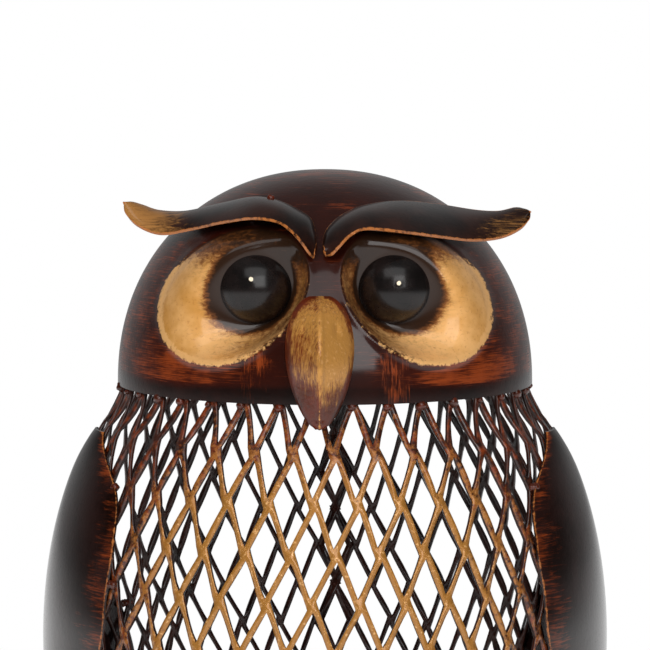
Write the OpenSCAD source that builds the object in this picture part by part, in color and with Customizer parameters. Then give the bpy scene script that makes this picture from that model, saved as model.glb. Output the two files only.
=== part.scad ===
// Owl figurine of lacquered sheet steel: a pressed head on a barrel of expanded metal, with a dished
// base, wings, tail and clawed feet. It is hollow, with a coin slot at the back of the head and a rubber
// stopper in the base. Left and right are as seen from the front. The owl faces -Y.

/* [Sheet] */
// Thickness of the pressed steel sheet
sheet = 0.9; // [0.6:0.1:1.4]
// Thickness of the expanded metal sheet
mesh_sheet = 1.0; // [0.6:0.1:1.4]

/* [Head] */
// Outside radius of the head at its rim
head_r = 55.8; // [46:0.1:68]
// Height of the dome above its rim
head_h = 57; // [47:0.5:69]
// Fullness of the dome: 2 is an ellipse, and more is squarer
dome_power = 2.13; // [1.9:0.01:2.6]

/* [Eyes] */
// Distance of each socket's centre from the middle
socket_x = 22.7; // [21:0.1:25]
// Height of each socket's centre above the rim
socket_up = 25.8; // [23:0.1:29]
// Half the length of a socket
socket_long = 20.4; // [17:0.1:21]
// Half the width of a socket
socket_short = 14.3; // [12:0.1:15.5]
// How far the outer end of each socket leans down, in degrees
socket_lean = 32.5; // [20:0.5:45]
// Radius of a pupil
pupil_r = 8.9; // [7:0.1:10]
// Height of a pupil's dome
pupil_h = 4.6; // [3:0.1:6]
// Depth of a pupil's seat below the dome
seat_depth = 6.8; // [5:0.1:9]

/* [Coin slot] */
// Length of the coin slot
slot_l = 34; // [28:0.5:40]
// Width of the coin slot
slot_w = 5; // [4.2:0.1:7]
// Height of the coin slot's middle above the rim, at the back of the head
slot_up = 31; // [20:0.5:38]

/* [Brows] */
// How far a brow's lower edge stands off the forehead
brow_lift = 6; // [4:0.1:7.5]
// Reach of a brow's outer tip from the middle
brow_reach = 54; // [48:0.5:60]

/* [Beak] */
// Length of the beak
beak_l = 31.4; // [26:0.1:36]
// Half the width of the beak
beak_half_w = 7.7; // [6:0.1:9]
// How far the ridge stands out from the side edges
beak_out = 9; // [7:0.1:12]
// Sideways place of the beak, which is fitted by hand
beak_x = -1.3; // [-2:0.1:2]

/* [Barrel] */
// Largest outside radius of the barrel
barrel_r = 71; // [66:0.1:78]
// Height of the head's rim above the ground
rim_z = 171; // [150:0.5:195]
// Height of one half-row of diamonds
row_h = 11.75; // [10:0.05:13]
// Number of diamonds around the barrel
cells = 38; // [30:1:42]
// Width of a strand
strand_w = 1.35; // [1:0.05:1.8]
// Width of the doubled strands along the seam at the back
seam_w = 2.5; // [2:0.05:3]

/* [Base] */
// Depth of the dished base
base_depth = 10; // [8:0.5:13]
// Radius of the stopper's hole in the base
hole_r = 17; // [14:0.5:20]
// Clearance between the stopper and its hole
stopper_gap = 0.08; // [0.02:0.01:0.1]
// How far the stopper's flange reaches past the hole
flange = 3.5; // [2.5:0.1:5]

/* [Wings] */
// How far the middle of a wing stands off the barrel
wing_bulge = 4.4; // [3:0.1:7]
// Length of a wing
wing_l = 115; // [100:1:126]

/* [Feet and tail] */
// Distance of each foot from the middle
foot_x = 25; // [20:0.5:30]
// How far the feet stand in front of the barrel's axis
foot_y = 33; // [30:0.5:38]
// Radius of a leg
leg_r = 5.5; // [4:0.1:7]
// Length of a leg between its foot and the base
leg_l = 12; // [8:0.5:20]
// Thickness of a foot
foot_h = 8; // [6:0.5:10]
// Length of the middle toe from the leg's axis
toe_l = 40; // [37:0.5:44]
// Length of the back toe from the leg's axis
back_toe_l = 22; // [16:0.5:26]
// Width of a toe
toe_w = 9.5; // [7:0.1:11]
// Height of a toe
toe_h = 6.5; // [4:0.1:8]
// How far the tail reaches behind the barrel's axis
tail_reach = 76; // [73:0.5:90]
// Half the width of the tail
tail_half_w = 21; // [16:0.5:26]
// Height of the notches between the tail's feathers
tail_notch = 4; // [0:0.5:8]

/* [Hidden] */
$fn = 64;

steel_brown = [0.24, 0.08, 0.04];
steel_dark = [0.10, 0.05, 0.04];
old_gold = [0.72, 0.50, 0.16];
mesh_bronze = [0.45, 0.28, 0.10];

fit_gap = 0.3;                              // between the mesh's plain edges and the rims around them
front_reach = max(foot_y + toe_l, barrel_r);
rear_reach = max(tail_reach, barrel_r);
body_y = (front_reach - rear_reach) / 2;    // puts the origin in the middle between toes and tail
pan_z = foot_h + leg_l;                     // underside of the base
base_z = pan_z + base_depth;                // top of the base's rim
barrel_mid_z = (rim_z + base_z) / 2 - 5.5;  // height of the barrel's widest place

// ---- Helpers ----

function mix(a, b, t) = a + (b - a) * t;
function flat(list) = [for (r = list) each r];
function clamp01(t) = min(1, max(0, t));
// A smooth curve through a list of points, with u from 0 to 1 along the list
function through(pts, u) =
    let (n = len(pts) - 1, i = min(n - 1, floor(u * n)), t = u * n - i,
         a = pts[max(0, i - 1)], b = pts[i], c = pts[i + 1], d = pts[min(n, i + 2)])
    0.5 * (2 * b + (c - a) * t + (2 * a - 5 * b + 4 * c - d) * t * t + (3 * b - a - 3 * c + d) * t * t * t);

function quad(a, b, c, d) = [[a, b, c], [a, c, d]];
function patch(n, m, from, turned) = [
    for (i = [0:n - 2], j = [0:m - 2])
        let (a = from + i * m + j, b = a + 1, c = a + m + 1, d = a + m)
        each turned ? quad(a, d, c, b) : quad(a, b, c, d)];
function walls(n, m) = let (o = n * m) [
    for (j = [0:m - 2]) each quad(j, j + 1, o + j + 1, o + j),
    for (j = [0:m - 2]) let (a = (n - 1) * m + j) each quad(a + 1, a, o + a, o + a + 1),
    for (i = [0:n - 2]) let (a = i * m) each quad(a + m, a, o + a, o + a + m),
    for (i = [0:n - 2]) let (a = i * m + m - 1) each quad(a, a + m, o + a + m, o + a)];
// A bent sheet between two grids of points, each with n rows of m points
module bent_sheet(face, back) {
    n = len(face);
    m = len(face[0]);
    polyhedron(concat(flat(face), flat(back)), concat(patch(n, m, 0, true), patch(n, m, n * m, false),
                                                      walls(n, m)));
}
module mirrored(side) {
    if (side < 0) mirror([1, 0, 0]) children();
    else children();
}

// ---- Head ----

pupil_x = socket_x - 5.5;
pupil_z = rim_z + socket_up + 1.7;
seat_out = -0.05;                           // slope of the pupil's seat towards the side of the head
seat_up = -0.06;                            // slope of the seat towards the crown
azimuths = [for (a = [-66:3:66]) a, for (a = [75:9:291]) a];
tiers = 22;

function dome_r(z) = head_r * pow(max(0, 1 - pow(clamp01((z - rim_z) / head_h), dome_power)), 1 / dome_power);
function dome_y(x, z) = -sqrt(max(0, pow(dome_r(z), 2) - x * x));
function seat_y(x, z) =
    dome_y(pupil_x, pupil_z) + seat_depth + seat_out * (x - pupil_x) + seat_up * (z - pupil_z);
// How far inside an oval between the socket's edge, t = 0, and the pupil's edge, t = 1, a point lies
function oval(x, z, t) =
    let (dx = x - mix(socket_x, pupil_x, t), dz = z - mix(rim_z + socket_up, pupil_z, t),
         u = dx * cos(socket_lean) - dz * sin(socket_lean), v = dx * sin(socket_lean) + dz * cos(socket_lean))
    norm([u / mix(socket_long, pupil_r, t), v / mix(socket_short, pupil_r, t)]);
function inward(x, z, low = 0, high = 1, step = 10) =
    step == 0 ? (low + high) / 2
    : let (t = (low + high) / 2, inside = oval(x, z, t) < 1)
      inward(x, z, inside ? t : low, inside ? high : t, step - 1);
function socket_y(x, z) =
    let (side_x = abs(x), t = oval(side_x, z, 0) < 1 ? inward(side_x, z) : 0, w = sin(90 * t))
    mix(dome_y(x, z), seat_y(side_x, z), w);

// The sheet is as thick as it is measured straight in, and inside a socket as it is measured backwards
function head_point(turn, rise, thick) =
    let (flat_out = pow(cos(rise), 2 / dome_power), up = pow(sin(rise), 2 / dome_power),
         x = head_r * flat_out * sin(turn), y = -head_r * flat_out * cos(turn), z = rim_z + head_h * up,
         in_socket = cos(turn) > 0 && oval(abs(x), z, 0) < 1,
         press = in_socket ? socket_y(x, z) - y : 0,
         inward = in_socket ? [0, 1.1, 0] : -[flat_out * sin(turn), -flat_out * cos(turn), up])
    [x, body_y + y + press, z] + thick * inward;

module dome_sheet() {
    m = len(azimuths);
    skin = [for (thick = [0, sheet]) each [
        for (i = [0:tiers - 1], a = azimuths) head_point(a, 88 * pow(i / (tiers - 1), 0.92), thick)]];
    n = tiers * m;
    poles = [[0, body_y, rim_z + head_h], [0, body_y, rim_z + head_h - sheet]];
    polyhedron(concat(skin, poles), [
        for (i = [0:tiers - 2], j = [0:m - 1])
            let (k = (j + 1) % m, a = i * m + j, b = i * m + k)
            each concat(quad(a, a + m, b + m, b), quad(n + a, n + b, n + b + m, n + a + m)),
        for (j = [0:m - 1])
            let (k = (j + 1) % m, top = (tiers - 1) * m)
            each concat([[top + j, 2 * n, top + k], [n + top + j, n + top + k, 2 * n + 1]],
                        quad(j, k, n + k, n + j))]);
}
module head_shell() {
    color(steel_brown) difference() {
        dome_sheet();
        translate([0, body_y + 0.9 * head_r, rim_z + slot_up])
            cube([slot_l, 0.6 * head_r, slot_w], center = true);
    }
}

module pupil(side) {
    ball = (pupil_r * pupil_r + pupil_h * pupil_h) / (2 * pupil_h);
    mirrored(side) translate([pupil_x, body_y + seat_y(pupil_x, pupil_z), pupil_z])
        rotate([90 + atan(seat_up), 0, 0]) rotate([0, atan(seat_out), 0])
        color(steel_dark) intersection() {
            translate([0, 0, pupil_h - ball]) sphere(ball);
            cylinder(r = pupil_r + 1, h = pupil_h + 1);
        }
}

// ---- Brows ----

// Each row holds how far out a brow's upper and lower edges are, as shares of its reach, then the height
// above the rim and the distance in front of the barrel's axis of its upper edge, and the same for its
// lower edge. The two brows are bent by hand, so each has its own path.
right_path = [
    [0.000, 0.012, 38.0, 44.4, 35.9, 46.9],
    [0.004, 0.040, 40.4, 41.5, 36.4, 47.6],
    [0.028, 0.072, 42.9, 38.4, 38.2, 47.6],
    [0.094, 0.124, 45.9, 34.5, 41.1, 47.0],
    [0.199, 0.198, 48.1, 30.5, 42.7, 45.8],
    [0.367, 0.356, 49.0, 25.5, 41.9, 43.0],
    [0.549, 0.530, 48.1, 19.5, 40.5, 37.5],
    [0.737, 0.704, 46.5, 16.0, 39.2, 30.0],
    [0.850, 0.844, 46.2, 15.0, 39.6, 24.5],
    [0.931, 0.944, 47.1, 15.0, 41.7, 21.5],
    [0.975, 0.990, 46.7, 16.2, 43.8, 19.4],
    [0.993, 1.000, 45.7, 17.3, 45.0, 18.2]];
left_path = [
    [0.048, 0.060, 38.7, 43.8, 35.4, 46.9],
    [0.054, 0.084, 41.4, 41.0, 36.9, 47.6],
    [0.074, 0.116, 44.7, 37.0, 39.4, 47.6],
    [0.128, 0.161, 46.8, 34.0, 42.1, 47.0],
    [0.222, 0.230, 49.1, 31.5, 44.4, 45.0],
    [0.343, 0.346, 50.1, 28.0, 45.1, 42.0],
    [0.504, 0.500, 48.4, 21.0, 43.8, 35.0],
    [0.678, 0.657, 46.3, 16.5, 41.8, 28.0],
    [0.811, 0.796, 46.4, 15.0, 40.6, 24.0],
    [0.893, 0.907, 47.8, 15.0, 42.5, 21.0],
    [0.945, 0.968, 48.6, 16.0, 45.4, 18.8],
    [0.970, 0.980, 48.1, 17.0, 47.2, 17.8]];
drawn_r = 55.8;                             // radius and height of the head that the paths are drawn on
drawn_h = 57;
brow_steps = 33;
brow_across = 4;
// A brow follows its path, and lies on the dome where its path would enter it
function brow_point(side, u, v, down) =
    let (s = through(side < 0 ? left_path : right_path, u), swell = 4 * v * (1 - v),
         lift = (brow_lift - 6) * v * sin(180 * min(1, 1.1 * u)),
         x = mix(s[0], s[1], v) * brow_reach - 0.6,
         z = rim_z + (mix(s[2], s[4], v) + 0.9 * swell) * head_h / drawn_h + 0.5 * lift - down,
         front = mix(s[3], s[5], v) * head_r / drawn_r + lift + 0.8 * swell)
    [x, body_y - max(front, 0.1 - dome_y(x, z)), z];
module brow(side) {
    grids = [for (down = [0, sheet]) [for (i = [0:brow_steps]) [
        for (j = [0:brow_across]) brow_point(side, i / brow_steps, j / brow_across, down)]]];
    color(steel_dark) mirrored(side) bent_sheet(grids[0], grids[1]);
}

// ---- Beak ----

beak_top_z = rim_z + 26;
beak_steps = 18;
beak_across = 8;
function beak_half(s) = beak_half_w / 0.46 * pow(s, 0.45) * pow(1 - s, 0.7);
function beak_point(i, j, back) =
    let (s = 0.012 + 0.976 * i / beak_steps, v = 2 * j / beak_across - 1, w = beak_half(s),
         z = beak_top_z - s * beak_l,
         side_y = dome_y(w, max(z, rim_z)) - 0.3 - 5.5 * pow(max(0, s - 0.62) / 0.38, 1.5),
         ridge = beak_out * pow(sin(180 * pow(s, 0.8)), 0.8) * min(1, w / 3),
         thin = back ? sheet : 0, arch = pow(1 - abs(v), 0.75))
    [beak_x + v * max(w - 0.6 * thin, 0.15), body_y + side_y - max(0, ridge - 1.2 * thin) * arch + thin, z];
module beak() {
    grids = [for (back = [false, true]) [
        for (i = [0:beak_steps]) [for (j = [0:beak_across]) beak_point(i, j, back)]]];
    color(old_gold) bent_sheet(grids[1], grids[0]);
}

// ---- Barrel of expanded metal ----

cell = 360 / cells;
phase = 0.22;                               // turns the first column of diamonds off the middle
rows = floor((rim_z - base_z) / row_h + 0.01);        // half-rows of diamonds that fit whole
spare = (rim_z - base_z - rows * row_h) / 2;          // what is left over at each end
plain_edge = 3 + spare;                     // height of the plain strip at the top and at the bottom
shoulder = 0.5;                             // step out from the head's rim to the barrel
// Half the height of the oval that the barrel is cut from
tall = (rim_z - barrel_mid_z) / sqrt(1 - pow((head_r + shoulder) / barrel_r, 2));
function row_z(k) = rim_z + 0.3 - spare - k * row_h;
function barrel_at(z) = barrel_r * sqrt(max(0.1, 1 - pow((z - barrel_mid_z) / tall, 2)));
pan_r = barrel_at(base_z) - 0.5;
top_inner = head_r - sheet - fit_gap;
low_inner = pan_r - sheet - fit_gap;
function mesh_r(z) =
    let (t = clamp01((row_z(0) - z) / row_h), b = clamp01((z - row_z(rows)) / row_h))
    min(mix(top_inner, barrel_at(z), t), mix(low_inner, barrel_at(z), b));
function around(turn, z, r) = [r * sin(turn), body_y - r * cos(turn), z];
function hole_turn(i, k) = (i + phase + (k % 2 == 0 ? 1 : 0.5)) * cell;
// Turn of the column of diamonds at the seam
seam_turn = (round(cells / 2 - phase) - 0.5 + phase) * cell;
function hole_scale(turn, z) =
    let (half = barrel_at(z) * PI / cells, inner = half * row_h / norm([half, row_h]),
         w = abs(turn - seam_turn) < 0.1 * cell ? seam_w : strand_w)
    1 - w / 2 / inner;
// The corners of a diamond, left, top, right and bottom, on the outside and then on the inside.
// The first and the last row are half diamonds, with the sheet's plain edge in the other half.
function diamond(i, k) =
    let (turn = hole_turn(i, k), z = row_z(k), s = hole_scale(turn, z),
         up = k == 0 ? plain_edge : s * row_h, down = k == rows ? plain_edge : s * row_h)
    [for (thick = [0, mesh_sheet], c = [[-s / 2, 0], [0, up], [s / 2, 0], [0, -down]])
        around(turn + c[0] * cell, z + c[1], mesh_r(z + c[1]) - thick)];
LEFT = 0;
TOP = 1;
RIGHT = 2;
BOTTOM = 3;
function corner(i, k, c) = let (a = 8 * ((i + cells) % cells + k * cells) + c) [a, a + 4];
function right_of(i, k) = k % 2 == 0 ? i + 1 : i;
// The same face on the outside and on the inside of the sheet, for three or four corners
function both(c) = concat(
    [for (n = [1:len(c) - 2]) [c[0][0], c[n][0], c[n + 1][0]]],
    [for (n = [1:len(c) - 2]) [c[0][1], c[n + 1][1], c[n][1]]]);
function wall(a, b) = quad(a[0], b[0], b[1], a[1]);
function strands(i, k) =
    let (r = right_of(i, k), l = r - 1)
    concat(both([corner(i, k, RIGHT), corner(r, k + 1, TOP), corner(r, k + 1, LEFT), corner(i, k, BOTTOM)]),
           both([corner(l, k + 1, TOP), corner(i, k, LEFT), corner(i, k, BOTTOM), corner(l, k + 1, RIGHT)]));
function bond(i, k) =
    let (r = right_of(i, k), a = corner(i, k, RIGHT), b = corner(i + 1, k, LEFT))
    k == 0 ? both([a, b, corner(r, k + 1, TOP)])
    : k == rows ? both([a, corner(r, k - 1, BOTTOM), b])
    : both([a, corner(r, k - 1, BOTTOM), b, corner(r, k + 1, TOP)]);
function rim_of_hole(i, k) =
    let (l = corner(i, k, LEFT), t = corner(i, k, TOP), r = corner(i, k, RIGHT), b = corner(i, k, BOTTOM))
    concat(k == rows ? wall(r, l) : concat(wall(r, b), wall(b, l)),
           k == 0 ? wall(l, r) : concat(wall(l, t), wall(t, r)));
function top_edge(i) =
    let (t = corner(i, 0, TOP), next = corner(i + 1, 0, TOP), r = corner(i, 0, RIGHT))
    concat(both([corner(i, 0, LEFT), t, r]), both([r, t, next, corner(i + 1, 0, LEFT)]), wall(next, t));
function low_edge(i) =
    let (b = corner(i, rows, BOTTOM), next = corner(i + 1, rows, BOTTOM), r = corner(i, rows, RIGHT),
         l = corner(i + 1, rows, LEFT))
    concat(both([corner(i, rows, LEFT), r, b]), both([r, l, next, b]), wall(b, next));

module mesh_body() {
    turns = [0:cells - 1];
    color(mesh_bronze) polyhedron(
        [for (k = [0:rows], i = turns) each diamond(i, k)],
        concat(
            [for (k = [0:rows - 1], i = turns) each strands(i, k)],
            [for (k = [0:rows], i = turns) each bond(i, k)],
            [for (k = [0:rows], i = turns) each rim_of_hole(i, k)],
            [for (i = turns) each top_edge(i)],
            [for (i = turns) each low_edge(i)]));
}

// ---- Base and stopper ----

shank_top = sheet + 7;                      // height of the stopper's shank above the underside of the base
module base_pan() {
    bend = 3;
    color(steel_brown) translate([0, body_y, pan_z]) rotate_extrude() polygon([
        [hole_r, 0], [pan_r - bend, 0], [pan_r, bend], [pan_r, base_depth],
        [pan_r - sheet, base_depth], [pan_r - sheet, bend + 0.4 * sheet],
        [pan_r - bend - 0.4 * sheet, sheet], [hole_r, sheet]]);
}
module stopper() {
    shank_r = hole_r - stopper_gap;
    color([0.05, 0.05, 0.05]) translate([0, body_y, pan_z]) rotate_extrude() polygon([
        [0, -2.4], [hole_r + flange - 0.8, -2.4], [hole_r + flange, -1.6], [hole_r + flange, 0],
        [shank_r, 0], [shank_r, shank_top - 2], [shank_r - 1.2, shank_top], [shank_r - 4, shank_top],
        [shank_r - 4, 2.5], [0, 2.5]]);
}

// ---- Wings ----

wing_top = rim_z - 11;
wing_rise = 0.4;                            // clearance between a wing's edge and the barrel
wing_steps = 18;
wing_across = 8;
// Turns of the front and of the rear edge, from the top of a wing to its tip
wing_path = [[68.5, 78], [53.5, 96], [50.8, 106], [51.3, 114], [51.8, 120], [56, 125], [64, 128], [76, 127],
             [91, 121], [107, 113]];
function wing_point(i, j, back) =
    let (u = i / wing_steps, v = j / wing_across, t = through(wing_path, u),
         z = wing_top - u * wing_l, along = sin(180 * (0.03 + 0.94 * pow(u, 0.75))),
         off = wing_rise + wing_bulge * pow(sin(180 * v) * along, 0.7))
    around(mix(t[0], t[1], v), z, barrel_at(max(z, base_z)) + off + (back ? 0 : sheet));
module wing(side) {
    grids = [for (back = [false, true]) [
        for (i = [0:wing_steps]) [for (j = [0:wing_across]) wing_point(i, j, back)]]];
    color(steel_dark) mirrored(side) bent_sheet(grids[1], grids[0]);
}

// ---- Feet and tail ----

leg_flange = 1.4;                           // thickness of the flange on top of a leg
module leg(side) {
    color(steel_brown) translate([side * foot_x, body_y - foot_y, 0]) {
        translate([0, 0, foot_h]) cylinder(r = leg_r, h = pan_z - foot_h);
        translate([0, 0, pan_z - leg_flange]) cylinder(r = leg_r + 2.5, h = leg_flange);
    }
}
// Half the width of a toe, from the leg's axis at s = 0 to the claw's tip at s = 1
function toe_half(s) = toe_w / 2 * (s < 0.72 ? 0.8 + 0.2 * sin(250 * s) : mix(0.79, 0.08, (s - 0.72) / 0.28));
module toe(turn, length) {
    stops = [0, 0.2, 0.35, 0.5, 0.6, 0.72, 0.8, 0.9, 1];
    rotate([0, 0, turn]) linear_extrude(height = toe_h) polygon(concat(
        [for (s = stops) [toe_half(s), -s * length]],
        [for (n = [len(stops) - 1:-1:0]) [-toe_half(stops[n]), -stops[n] * length]]));
}
module foot(side) {
    color(old_gold) translate([side * foot_x, body_y - foot_y, 0]) {
        cylinder(r = leg_r + 4, h = foot_h);
        for (turn = [-27, 0, 27]) toe(turn, toe_l - (turn == 0 ? 0 : 3));
        toe(180, back_toe_l);
    }
}

tail_top = base_z + 38;
tail_steps = 14;
tail_across = 12;
// The tail stands on three rounded feathers with a notch between them
function tail_point(i, j, back) =
    let (u = i / tail_steps, v = 2 * j / tail_across - 1,
         notch = tail_notch * abs(sin(270 * v)) * pow(u, 5), round_top = 7 * v * v * pow(1 - u, 5),
         z = tail_top * (1 - u) + notch - round_top,
         x = v * mix(0.6, 1, pow(u, 0.8)) * tail_half_w,
         wrap = sqrt(pow(barrel_at(max(z, base_z)) + 0.5, 2) - x * x),
         hang = mix(barrel_at(tail_top) + 0.5, tail_reach - sheet, u))
    [x, body_y + max(mix(wrap, hang, clamp01(2.2 * u)), wrap) + (back ? sheet : 0), z];
module tail() {
    grids = [for (back = [false, true]) [
        for (i = [0:tail_steps]) [for (j = [0:tail_across]) tail_point(i, j, back)]]];
    color(steel_dark) bent_sheet(grids[1], grids[0]);
}

// ---- Welds ----

// A run of weld metal that reaches a little past two points
module weld(a, b, r) {
    d = b - a;
    translate(a - d * 0.5 / norm(d)) rotate([0, acos(d[2] / norm(d)), atan2(d[1], d[0])])
        cylinder(r = r, h = norm(d) + 1);
}
function bond_turn(j, k) = (j + phase - (k % 2 == 0 ? 0.5 : 0)) * cell;

// The bond of row k that is nearest to a turn
function nearest_bond(turn, k) = bond_turn(round(turn / cell - phase + (k % 2 == 0 ? 0.5 : 0)), k);
module rim_welds() {
    color(mesh_bronze) for (j = [0:2:cells - 1])
        translate(around(bond_turn(j, 0), rim_z - 0.6, head_r - 0.7)) sphere(1.7);
}
module base_welds() {
    color(mesh_bronze) for (j = [0:2:cells - 1])
        translate(around(bond_turn(j, rows), base_z + 0.5, pan_r - 0.9)) sphere(1.7);
}
module brow_welds() {
    // Two beads under each brow, and one on top of the left brow: side, then along and across the brow
    beads = [[-1, 0.3, 0.6], [-1, 0.46, 0.5], [-1, 0.4, 0], [1, 0.3, 0.6], [1, 0.46, 0.5]];
    color(mesh_bronze) for (spot = beads) {
        hidden = spot[2] > 0;
        p = brow_point(spot[0], spot[1], spot[2], hidden ? sheet + 0.9 : sheet / 2);
        low = p[2] - 1.2;
        mirrored(spot[0]) weld(p, [p[0], body_y + dome_y(p[0], low) + 1, low], 1.3);
    }
}
module wing_welds() {
    color(mesh_bronze) for (side = [-1, 1], k = [2, 4, 6], edge = [0, 1]) {
        u = (wing_top - row_z(k)) / wing_l;
        t = through(wing_path, u)[edge] + (edge == 0 ? 1 : -1);
        near = side < 0 ? -nearest_bond(-t, k) : nearest_bond(t, k);
        r = barrel_at(row_z(k));
        mirrored(side) weld(around(near, row_z(k), r), around(t, row_z(k), r + 0.6), 1.3);
    }
}
module tail_welds() {
    k = ceil((row_z(0) - tail_top + 2.4) / row_h);    // the first row of bonds behind the tail
    color(mesh_bronze) for (v = [-0.45, 0.45]) {
        u = 1 - (row_z(k) + 7 * v * v) / tail_top;
        end = tail_point(u * tail_steps, (v + 1) / 2 * tail_across, false);
        t = 180 - atan(end[0] / (end[1] - body_y));
        weld(around(nearest_bond(t, k), row_z(k), barrel_at(row_z(k))), end, 1.3);
    }
}

module left_pupil() pupil(-1);
module right_pupil() pupil(1);
module left_brow() brow(-1);
module right_brow() brow(1);
module left_wing() wing(-1);
module right_wing() wing(1);
module left_leg() leg(-1);
module right_leg() leg(1);
module left_foot() foot(-1);
module right_foot() foot(1);

head_shell();
left_pupil();
right_pupil();
left_brow();
right_brow();
beak();
mesh_body();
base_pan();
stopper();
left_wing();
right_wing();
left_leg();
right_leg();
left_foot();
right_foot();
tail();
rim_welds();
base_welds();
brow_welds();
wing_welds();
tail_welds();
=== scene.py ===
# Owl figurine in lacquered sheet steel on a barrel of expanded metal
import math
import random

import bpy
from mathutils import Matrix, Vector, noise


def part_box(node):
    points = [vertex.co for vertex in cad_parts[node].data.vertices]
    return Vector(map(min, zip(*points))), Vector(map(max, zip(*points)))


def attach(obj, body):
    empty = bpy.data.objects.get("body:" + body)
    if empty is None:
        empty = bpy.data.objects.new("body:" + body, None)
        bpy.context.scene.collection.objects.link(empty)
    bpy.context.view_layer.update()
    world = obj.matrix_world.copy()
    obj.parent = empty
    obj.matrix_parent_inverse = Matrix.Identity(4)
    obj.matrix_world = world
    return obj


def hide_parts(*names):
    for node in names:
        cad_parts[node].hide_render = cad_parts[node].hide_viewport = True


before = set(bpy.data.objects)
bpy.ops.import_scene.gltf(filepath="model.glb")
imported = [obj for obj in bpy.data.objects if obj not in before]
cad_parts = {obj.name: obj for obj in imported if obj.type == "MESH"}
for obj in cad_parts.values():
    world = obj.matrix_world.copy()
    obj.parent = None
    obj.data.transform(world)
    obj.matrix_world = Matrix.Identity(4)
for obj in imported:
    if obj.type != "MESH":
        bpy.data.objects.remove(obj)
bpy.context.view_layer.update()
mm = 0.001
radians = math.radians


def inMm(node):
    low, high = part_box(node)
    return low / mm, high / mm


# Places that the pieces share, read from the frame
headLow, headHigh = inMm("head_shell")
panLow, panHigh = inMm("base_pan")
place = {
    "axisY": (panLow.y + panHigh.y) / 2,
    "rimZ": headLow.z,
    "headR": (panLow.y + panHigh.y) / 2 - headLow.y,
    "headH": headHigh.z - headLow.z,
    "panR": (panHigh.y - panLow.y) / 2,
    "panZ": panLow.z,
    "panTop": panHigh.z,
    "barrelR": 71.0,
    "barrelMidZ": (headLow.z + panHigh.z) / 2 - 5.5,
    "sheet": 0.9,
}
axisY, rimZ = place["axisY"], place["rimZ"]
tall = (rimZ - place["barrelMidZ"]) / math.sqrt(1 - ((place["headR"] + 0.5) / place["barrelR"]) ** 2)


def mixed(a, b, t):
    return a + (b - a) * t


def clamped(t, low=0.0, high=1.0):
    return min(high, max(low, t))


def eased(t):
    t = clamped(t)
    return t * t * (3 - 2 * t)


def through(points, u):
    # a smooth curve through the points, with u from 0 to 1 along them
    last = len(points) - 1
    i = min(last - 1, int(u * last))
    t = u * last - i
    a, b, c, d = points[max(0, i - 1)], points[i], points[i + 1], points[min(last, i + 2)]
    return [0.5 * (2 * q + (r - p) * t + (2 * p - 5 * q + 4 * r - s) * t * t + (3 * q - p - 3 * r + s) * t ** 3)
            for p, q, r, s in zip(a, b, c, d)]


def around(turn, z, r):
    return Vector((r * math.sin(radians(turn)), axisY - r * math.cos(radians(turn)), z))


def barrelAt(z):
    return place["barrelR"] * math.sqrt(max(0.1, 1 - ((z - place["barrelMidZ"]) / tall) ** 2))


def addNode(tree, kind, **values):
    made = tree.nodes.new(kind)
    for key, value in values.items():
        if key.startswith("in_"):
            name = key[3:]
            made.inputs[int(name) if name.isdigit() else name].default_value = value
        else:
            setattr(made, key, value)
    return made


def ramp(tree, source, low, high):
    # 0 below low and 1 above high
    made = addNode(tree, "ShaderNodeMapRange", interpolation_type="SMOOTHSTEP")
    made.inputs["From Min"].default_value = low
    made.inputs["From Max"].default_value = high
    tree.links.new(source, made.inputs["Value"])
    return made.outputs["Result"]


def sums(tree, operation, a, b, clamp=False):
    made = addNode(tree, "ShaderNodeMath", operation=operation, use_clamp=clamp)
    for socket, value in zip(made.inputs, (a, b)):
        if isinstance(value, (int, float)):
            socket.default_value = value
        else:
            tree.links.new(value, socket)
    return made.outputs[0]


def blended(tree, amount, a, b):
    # colour a where amount is 0, and b where it is 1
    made = addNode(tree, "ShaderNodeMix", data_type="RGBA")
    for socket, value in ((made.inputs[0], amount), (made.inputs[6], a), (made.inputs[7], b)):
        if isinstance(value, (int, float)):
            socket.default_value = value
        elif isinstance(value, tuple):
            socket.default_value = (*value, 1)
        else:
            tree.links.new(value, socket)
    return made.outputs[2]


def stretched(tree, source, scale):
    made = addNode(tree, "ShaderNodeMapping")
    made.inputs["Scale"].default_value = scale
    tree.links.new(source, made.inputs["Vector"])
    return made.outputs["Vector"]


def noisy(tree, source, scale=1.0, detail=4.0, rough=0.6, twist=0.0):
    made = addNode(tree, "ShaderNodeTexNoise", in_Scale=scale, in_Detail=detail, in_Roughness=rough,
                   in_Distortion=twist)
    tree.links.new(source, made.inputs["Vector"])
    return made.outputs["Fac"]


def newGroup(name, inputs, outputs):
    group = bpy.data.node_groups.new(name, "ShaderNodeTree")
    for label, kind, value in inputs:
        socket = group.interface.new_socket(name=label, in_out="INPUT", socket_type=kind)
        if value is not None:
            socket.default_value = value
    for label, kind in outputs:
        group.interface.new_socket(name=label, in_out="OUTPUT", socket_type=kind)
    return group, addNode(group, "NodeGroupInput"), addNode(group, "NodeGroupOutput")


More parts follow.
